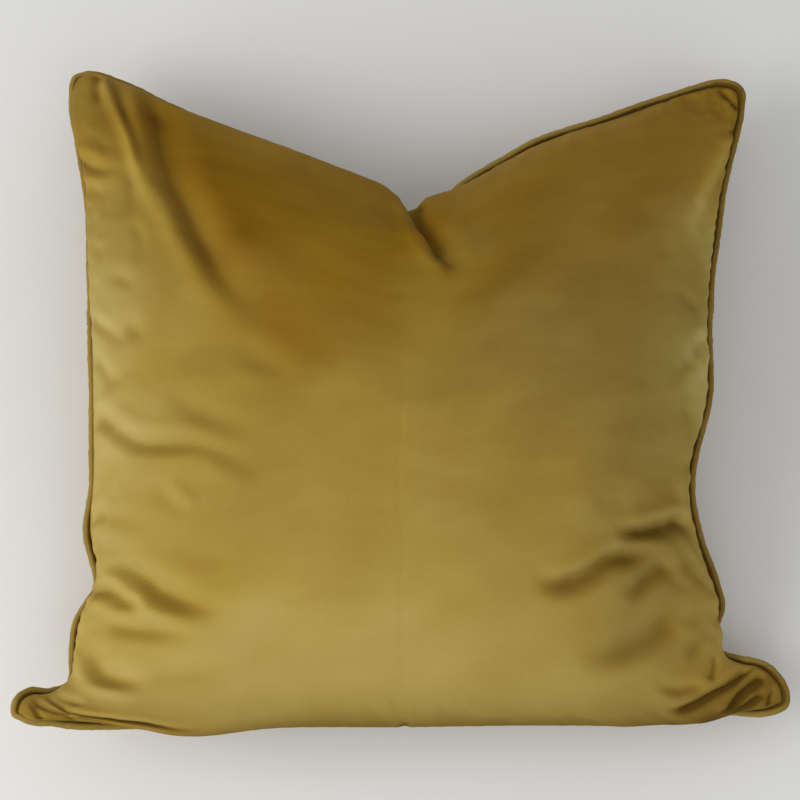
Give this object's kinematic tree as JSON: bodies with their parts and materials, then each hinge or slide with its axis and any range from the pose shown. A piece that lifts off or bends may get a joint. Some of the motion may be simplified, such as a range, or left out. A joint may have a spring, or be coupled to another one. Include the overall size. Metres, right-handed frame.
{
  "type": "filled cushion cover",
  "caption": "Square velvet cushion, filled and piped all round, with a chop pressed into its top edge and two small flat ears at the bottom.",
  "frame": {"origin": "centre of the footprint, on the surface that the back panel rests on", "axes": "+X across the face to the right, +Y up the face to the chopped top edge, +Z out of the face"},
  "size_m": [0.5481, 0.4917, 0.1791],
  "materials": {
    "velvet": "mustard gold cotton velvet, short soft pile brushed down the face, lighter where the pile turns away",
    "piping": "the same velvet cut on the bias over a cord"
  },
  "bodies": {
    "root": {"cushion_cover": "velvet", "piping_upper": "piping", "piping_lower": "piping"}
  },
  "joints": []
}
